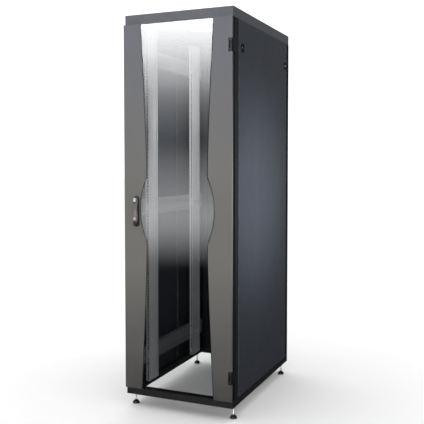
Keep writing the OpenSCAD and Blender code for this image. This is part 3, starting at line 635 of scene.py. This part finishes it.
def bristle_row(facing):
    """Each tuft is a spike with a square root: eight points from a root square to a smaller, leaning tip."""
    x = np.linspace(brush_low.x + 12 * MM, brush_high.x - 12 * MM, tufts)
    lean = draw.normal(0, 0.8 * MM, tufts)
    root_y, tip_y = facing * 23 * MM, facing * (6.2 * MM + draw.uniform(0, 2.5 * MM, tufts))
    corner = np.array([(-1, -1), (1, -1), (1, 1), (-1, 1)]) * 0.9 * MM
    root = np.stack([x[:, None] + corner[:, 0], np.full((tufts, 4), root_y),
                     brush_high.z - 1.8 * MM + corner[:, 1] + 0 * x[:, None]], -1)
    tip = np.stack([(x + lean)[:, None] + corner[:, 0] * 0.5, np.repeat(tip_y[:, None], 4, 1),
                    brush_high.z - 1.8 * MM + corner[:, 1] * 0.5 + 0 * x[:, None]], -1)
    rings = np.stack([root, tip], 1)
    rings = rings[:, :, ::-1] if facing > 0 else rings
    shells = [skin(ring_pair) for ring_pair in rings]
    return [(points + np.array([0, entry_y, 0]), faces) for points, faces in shells]


piece("entry_brush_bristles", bristle_row(1) + bristle_row(-1), brush_nylon, "frame",
      ["roof_brush"], smooth_below=30)
carriers = [rounded_box((brush_low.x, entry_y + near * MM, brush_low.z),
                        (brush_high.x, entry_y + far * MM, brush_high.z), 1.2 * MM)
            for near, far in ((-38, -22), (22, 38))]
piece("entry_brush_carriers", carriers, bright_zinc, "frame")

# %% [markdown]
# ## Door seals
# A sponge-rubber bulb runs down behind each stile of the glass door. Its section is a D: a flat
# back stuck to the stile and a half round that the post presses on.

# %% Bulb seals
seal_low, seal_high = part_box("front_seals")
seal_width = 12 * MM
angle = np.linspace(0, np.pi, 13)
bulb = np.stack([-seal_width / 2 * np.cos(angle), (seal_high.y - seal_low.y) * np.sin(angle) ** 0.8], -1)
back = [(-seal_width / 2 + 1 * MM, -0.02 * MM), (seal_width / 2 - 1 * MM, -0.02 * MM)]
bulb = np.concatenate([bulb[::-1], back])
shells = []
for x in (seal_low.x + seal_width / 2, seal_high.x - seal_width / 2):
    z = np.linspace(seal_low.z, seal_high.z, 24)
    rings = np.stack([np.repeat(x + bulb[None, :, 0], 24, 0), np.repeat(seal_low.y + bulb[None, :, 1], 24, 0),
                      np.repeat(z[:, None], len(bulb), 1)], -1)
    shells.append(skin(rings))
piece("door_bulb_seals", shells, seal_rubber, "front_door", ["front_seals"])

# %% [markdown]
# ## Hinges
# Each door hangs on two three-knuckle hinges. The outer knuckles belong to the door leaf, the middle
# one to the frame, and a headed pin drops through all three. Knuckles are turned barrels with a
# small chamfer at each end, so the joints between them read as dark lines.

# %% Hinge barrels, leaves and pins
def barrel(radius, height, chamfer=0.7 * MM):
    """A turned barrel with chamfered ends."""
    return turned([(0.3 * MM, 0), (radius - chamfer, 0), (radius, chamfer), (radius, height - chamfer),
                   (radius - chamfer, height), (0.3 * MM, height)], 32)


HINGE_HALF, KNUCKLE_HALF, HINGE_INSET = 32 * MM, 15 * MM, 8.5 * MM


def hinge_levels(door):
    """Middle heights of the lower and upper hinge of a door."""
    low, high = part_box(f"{door}_hinge_leaves")
    return low.z + HINGE_HALF, high.z - HINGE_HALF


def mirrored_place(door, x, y):
    """A place given as seen from outside that door: x to the right, y inwards from its mounting plane."""
    turn = 1 if door == "front" else -1
    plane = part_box("post_front_left")[0].y if door == "front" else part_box("post_rear_left")[1].y
    return turn * x, plane + turn * y


def door_box(door, low, high, radius):
    """A rounded box whose corners are given as seen from outside that door."""
    ax, ay = mirrored_place(door, low[0], low[1])
    bx, by = mirrored_place(door, high[0], high[1])
    return rounded_box((min(ax, bx), min(ay, by), low[2]), (max(ax, bx), max(ay, by), high[2]), radius)


hinge_x = 293 * MM
PIN = np.array([(0.3, 0), (2.4, 0), (3, 0.8), (3, 66.4), (4.6, 66.4), (5, 66.9), (4.6, 67.8),
                (3.2, 68.3), (0.3, 68.4)]) * MM
frame_leaves, pins = [], []
for door in ENDS:
    door_leaves = []
    px, py = mirrored_place(door, hinge_x, -HINGE_INSET)
    for z in hinge_levels(door):
        eye = HINGE_HALF - KNUCKLE_HALF - 0.4 * MM
        door_leaves.append(door_box(door, (0.281, -0.016, z - HINGE_HALF),
                                    (0.2855, -0.0025, z + HINGE_HALF), 1.2 * MM))
        for start in (z - HINGE_HALF, z + HINGE_HALF - eye):
            door_leaves.append(door_box(door, (0.2812, -0.016, start),
                                        (hinge_x, -0.0022, start + eye), 1.0 * MM))
            door_leaves.append(stood(barrel(7 * MM, eye), (px, py, start)))
        frame_leaves.append(door_box(door, (0.288, 0.002, z - 0.031), (0.299, 0.023, z + 0.031), 1.2 * MM))
        frame_leaves.append(door_box(door, (0.289, -0.0085, z - KNUCKLE_HALF),
                                     (0.297, 0.004, z + KNUCKLE_HALF), 0.8 * MM))
        frame_leaves.append(stood(barrel(6.2 * MM, 2 * KNUCKLE_HALF), (px, py, z - KNUCKLE_HALF)))
        pins.append(stood(turned(PIN, 24), (px, py, z - HINGE_HALF - 2 * MM)))
    piece(f"{door}_hinge_knuckles", door_leaves, hardware_black, f"{door}_door",
          [f"{door}_hinge_leaves"])
piece("frame_hinge_blocks", frame_leaves, hardware_black, "frame", ["frame_hinge_leaves"])
piece("headed_hinge_pins", pins, hardware_black, "frame", ["hinge_pins"])

# %% [markdown]
# ## Swing handles
# The lever is a die-casting that lies in a shallow plate. It is modelled as rings from the foot to
# the head whose width and depth follow smooth curves: narrow at the waist, full at the thumb end and
# the lock. Two cheeks straddle the hub boss, and a raised ring frames the lock core.

# %% Handle plate
PLATE_T = 5 * MM
handle_low, handle_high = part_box("front_handle_plate")
handle_x = (handle_low.x + handle_high.x) / 2
plate_half = (handle_high.x - handle_low.x) / 2


def capsule(half_width, z0, z1, inset, steps=12):
    """An upright outline with half-round ends, drawn in by inset: two half circles and two straight
    sides."""
    r = half_width - inset
    t = np.linspace(0, np.pi, steps + 1)
    top = np.stack([r * np.cos(t), z1 - half_width + r * np.sin(t)], -1)
    bottom = np.stack([-r * np.cos(t), z0 + half_width - r * np.sin(t)], -1)
    return np.concatenate([top, bottom])


def facing_out(door, outline, depths):
    """Carries a handle outline outwards: outline is (layers, points, 2) as seen from outside, and depths
    run out."""
    turn = 1 if door == "front" else -1
    x, y = mirrored_place(door, handle_x, -15 * MM)
    grid = np.stack([x + turn * outline[..., 0], y - turn * np.asarray(depths)[:, None] + 0 * outline[..., 0],
                     outline[..., 1]], -1)
    return skin(grid)


def handle_plate(door):
    """Layers of the capsule: straight sides, a quarter-round edge of 2 mm, and the raised catch below."""
    t = np.linspace(0, np.pi / 2, 6)
    edge = 2.0 * MM
    inset = np.concatenate([[0.0], edge * (1 - np.cos(t))])
    depth = np.concatenate([[0.0], PLATE_T - edge + edge * np.sin(t)])
    rings = np.stack([capsule(plate_half, handle_low.z, handle_high.z, s) for s in inset])
    catch = door_box(door, (handle_x - 0.013, -0.0319, handle_low.z + 0.006),
                     (handle_x + 0.013, -0.0195, handle_low.z + 0.0265), 3 * MM)
    return [facing_out(door, rings, depth), catch]


# %% Lever
lever_low, lever_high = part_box("front_handle_lever")
lever_half = (lever_high.x - lever_low.x) / 2
OUT = lever_low.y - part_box("post_front_left")[0].y
hub_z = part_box("front_handle_hub")[0].z + 12 * MM
lock_z = (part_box("front_lock_core")[0].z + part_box("front_lock_core")[1].z) / 2


def lever_grip(door):
    """Rings up the lever: full width at its ends, 1.6 mm less on each side at the waist, where the
    front is drawn back too."""
    z = np.concatenate([[lever_low.z + d * MM for d in (0.0, 0.5, 1.5, 3.0)],
                        np.linspace(lever_low.z + 6 * MM, hub_z - 17 * MM, 26)])
    s = (z - lever_low.z) / (hub_z - lever_low.z)
    end_round = np.sqrt(np.clip(1 - (1 - np.clip((z - lever_low.z) / (4 * MM), 0, 1)) ** 2, 0.02, 1))
    waist = np.exp(-((s - 0.55) / 0.2) ** 2)
    half = lever_half - 1.6 * MM * waist - 2.5 * MM * (1 - end_round)
    front = -OUT - (1.2 + 1.8 * waist) * MM - 2.0 * MM * (1 - end_round)
    back = (22.2 + 1.5 * waist) * MM
    rings = []
    for h, f, b, level in zip(half, front, back, z):
        ring = rounded_ring(h, (f - b) / 2, 4.2 * MM, 5)
        ring[:, 1] += (f + b) / 2
        rings.append(np.column_stack([ring, np.full(len(ring), level)]))
    grid = np.stack(rings)
    turn = 1 if door == "front" else -1
    x, y = mirrored_place(door, handle_x, 0)
    grid[..., 0], grid[..., 1] = x + turn * grid[..., 0], y - turn * grid[..., 1]
    return skin(grid[:, ::-1])


def lever_cheeks(door):
    """Each cheek is an outline in depth and height, round over the pin, carried sideways with soft edges."""
    pin_out = -OUT - 9 * MM
    t = np.linspace(0, np.pi, 15)
    head = np.stack([pin_out + 8.8 * MM * np.cos(t), hub_z + 8.8 * MM * np.sin(t)], -1)
    foot_z = hub_z - 18 * MM
    outline = np.concatenate([head, [(pin_out - 8.8 * MM, foot_z), (pin_out + 7.6 * MM, foot_z)]])
    middle = outline.mean(0)
    shells = []
    thick = lever_half - 7.5 * MM
    for start in (-lever_half, 7.5 * MM):
        across = start + np.array([0.0, 0.08, 0.26, 0.74, 0.92, 1.0]) * thick
        shrink = 1 - np.array([0.10, 0.035, 0.0, 0.0, 0.035, 0.10])
        rings = middle + shrink[:, None, None] * (outline - middle)
        turn = 1 if door == "front" else -1
        x, y = mirrored_place(door, handle_x, 0)
        grid = np.stack([x + turn * across[:, None] + 0 * rings[..., 0], y - turn * rings[..., 0],
                         rings[..., 1]], -1)
        shells.append(skin(grid[:, ::-1]))
    return shells


def lock_ring(door):
    """A turned collar around the lock core, flush with the front of the lever's ends."""
    profile = np.array([(7.6, 0), (10.0, 0), (10.0, 1.6), (9.5, 2.3), (8.3, 2.5), (7.6, 2.1)]) * MM
    turn = 1 if door == "front" else -1
    x, y = mirrored_place(door, handle_x, OUT + 2.4 * MM)
    return stood(turned(profile, 40, True), (x, y, lock_z), (0, -turn, 0), (turn, 0, 0))


CROSS_PIN = np.array([(0.2, 0), (1.7, 0), (2, 0.4), (2, 21.6), (1.7, 22), (0.2, 22)]) * MM
for door in ENDS:
    piece(f"{door}_swing_plate", handle_plate(door), hardware_black, f"{door}_door",
          [f"{door}_handle_plate"])
    piece(f"{door}_swing_lever", [lever_grip(door), *lever_cheeks(door), lock_ring(door)], lever_coat,
          f"{door}_lever", [f"{door}_handle_lever"])
    softened(f"{door}_handle_hub", satin_steel, 0.5 * MM, name=f"{door}_swing_hub")
    softened(f"{door}_lock_core", satin_steel, 0.4 * MM, name=f"{door}_keyed_core")
    px, py = mirrored_place(door, handle_x, OUT + 9 * MM)
    pin = stood(turned(CROSS_PIN, 20), (px - 11 * MM, py, hub_z), (1, 0, 0), (0, 0, 1))
    piece(f"{door}_lever_cross_pin", [pin], bright_zinc, f"{door}_hub", [f"{door}_lever_pin"])

# %% [markdown]
# ## Quarter-turn panel latches
# Each side panel is held by two latches near its top. A latch sits in a turned cup pressed into the
# panel; the grip is a finger bar across the cup with a slot for a coin, and a cam behind the panel
# reaches for the brace.

# %% Cups, grips and cams
CUP = np.array([(23.4, -1.0), (24, -0.4), (24, 0), (22, 0.2), (22, 9.4), (21.4, 10), (5.1, 10), (5.1, 8.6),
                (19.2, 8.5), (20, 7.6), (20, 0.2), (20.6, -0.8), (21.4, -1.0)]) * MM
DISC = np.array([(0.3, 4.6), (17.6, 4.6), (18.5, 5.3), (18.5, 7.4), (17.8, 8.0), (5.0, 8.0), (5.0, 27.0),
                 (0.3, 27.0)]) * MM
for side in SIDES:
    inward = 1 if side == "left" else -1
    skin_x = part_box(f"side_panel_{side}")[0 if side == "left" else 1].x
    cups = []
    for end in ENDS:
        low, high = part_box(f"latch_{side}_{end}")
        y, z = (low.y + high.y) / 2, high.z - 18.5 * MM
        spot = (skin_x, y, z)
        cups.append(stood(turned(CUP, 48, True), spot, (inward, 0, 0), (0, 0, 1)))
        bar = rounded_box((-16 * MM, -4.5 * MM, 0.5 * MM), (16 * MM, 4.5 * MM, 6 * MM), 2.2 * MM)
        coin = rounded_box((-5 * MM, -1 * MM, 0.2 * MM), (5 * MM, 1 * MM, 1.2 * MM), 0.4 * MM)
        cam = rounded_box((-33.5 * MM, -6 * MM, 24 * MM), (6 * MM, 6 * MM, 27 * MM), 1.0 * MM)
        latch = [stood(shell, spot, (inward, 0, 0), (0, 0, 1)) for shell in (turned(DISC, 40), bar, cam)]
        piece(f"quarter_turn_{side}_{end}", latch, hardware_black, f"turn_{side}_{end}",
              [f"latch_{side}_{end}"])
        piece(f"coin_slot_{side}_{end}", [stood(coin, spot, (inward, 0, 0), (0, 0, 1))], chrome,
              f"turn_{side}_{end}")
    piece(f"latch_cup_rings_{side}", cups, hardware_black, f"panel_{side}",
          [f"latch_cups_{side}"])

# %% [markdown]
# ## Floor and light
# A pale floor runs out to a white surround. The surround lights everything softly. For mirror-like
# rays it is graded instead, as a studio hung with cards is: bright above eye level in front, a
# soft grey band at waist height and dark below, so the glass and the paint have something to show.
# Two lamps help: one makes a soft pool on the right panel, and one inside lights the rails. Neither
# shows in a reflection.

# %% Floor
def floor_finish():
    """A pale, matt floor with a barely visible cloudiness."""
    made, tree, shader = new_finish("pale_floor")
    cloud = between(tree, noise(tree, 0.8, 4.0), 0.0, 1.0)
    tree.links.new(blended(tree, cloud, (0.90, 0.90, 0.90), (0.93, 0.93, 0.93)), shader.inputs["Base Color"])
    shader.inputs["Roughness"].default_value = 0.9
    return made


floor_reach = 40.0
floor_mesh = bpy.data.meshes.new("floor")
floor_mesh.from_pydata([(-floor_reach, -floor_reach, 0), (floor_reach, -floor_reach, 0),
                        (floor_reach, floor_reach, 0), (-floor_reach, floor_reach, 0)], [], [(0, 1, 2, 3)])
floor = bpy.data.objects.new("floor", floor_mesh)
bpy.context.scene.collection.objects.link(floor)
floor.data.materials.append(floor_finish())
floor.visible_glossy = False


# %% Surround
def ramp(tree, value, stops):
    """A colour ramp from (position, brightness) pairs."""
    made = add(tree, "ShaderNodeValToRGB", {0: value})
    elements = made.color_ramp.elements
    while len(elements) < len(stops):
        elements.new(0.5)
    for element, (position, level) in zip(elements, stops):
        element.position = position
        element.color = (level, level, level, 1.0)
    made.color_ramp.interpolation = "CARDINAL"
    return made.outputs[0]


def surround():
    """White for sight and soft light; for mirrored rays a grading by the sine of elevation."""
    world = bpy.data.worlds.new("studio")
    bpy.context.scene.world = world
    world.use_nodes = True
    tree = world.node_tree
    tree.nodes.clear()
    axes = add(tree, "ShaderNodeSeparateXYZ", {0: add(tree, "ShaderNodeTexCoord").outputs["Generated"]})
    rise = between(tree, axes.outputs[2], 0.0, 1.0, -0.5, 0.5)
    in_front = ramp(tree, rise, [(0.0, 0.0), (0.30, 0.0), (0.354, 0.022), (0.412, 0.225), (0.445, 0.19),
                                 (0.50, 0.09), (0.544, 0.045), (0.602, 0.20), (0.644, 0.52), (0.68, 0.85),
                                 (0.72, 1.0), (1.0, 0.1)])
    beside = ramp(tree, rise, [(0.0, 0.003), (0.3, 0.006), (0.45, 0.018), (0.6, 0.014), (0.8, 0.012),
                               (1.0, 0.03)])
    facing = between(tree, axes.outputs[1], 1.0, 0.0, -0.75, -0.35)
    graded = blended(tree, facing, beside, in_front)
    mirror_sky = add(tree, "ShaderNodeBackground", {"Color": graded, "Strength": 12.0})
    path = add(tree, "ShaderNodeLightPath")
    flank = between(tree, axes.outputs[0], 1.30, 0.80, 0.1, 0.95)
    seen = add(tree, "ShaderNodeMath", {0: path.outputs["Is Camera Ray"], 1: flank}, operation="MAXIMUM")
    soft_sky = add(tree, "ShaderNodeBackground", {"Color": (1.0, 1.0, 1.0, 1.0), "Strength": seen.outputs[0]})
    both = add(tree, "ShaderNodeMixShader", {0: path.outputs["Is Glossy Ray"], 1: soft_sky.outputs[0],
                                             2: mirror_sky.outputs[0]})
    add(tree, "ShaderNodeOutputWorld", {"Surface": both.outputs[0]})


def spot(name, place, aim, power, cone, softness):
    """A soft-edged spot lamp turned from its place towards a point."""
    lamp = bpy.data.lights.new(name, "SPOT")
    lamp.energy = power
    lamp.spot_size = math.radians(cone)
    lamp.spot_blend = 1.0
    lamp.shadow_soft_size = softness
    made = bpy.data.objects.new(name, lamp)
    bpy.context.scene.collection.objects.link(made)
    made.location = place
    made.rotation_euler = (Vector(aim) - Vector(place)).to_track_quat("-Z", "Y").to_euler()
    return made


surround()
pool = spot("panel_pool", (2.6, -0.45, 1.35), (0.30, -0.12, 1.12), 480.0, 30.0, 0.25)
inside = spot("rail_light", (0.16, -0.20, 1.60), (-0.22, 0.21, 1.4), 13.0, 140.0, 0.10)
pool.visible_glossy = inside.visible_glossy = inside.visible_camera = False
bpy.context.scene.view_settings.view_transform = "Standard"
print("surround ready")
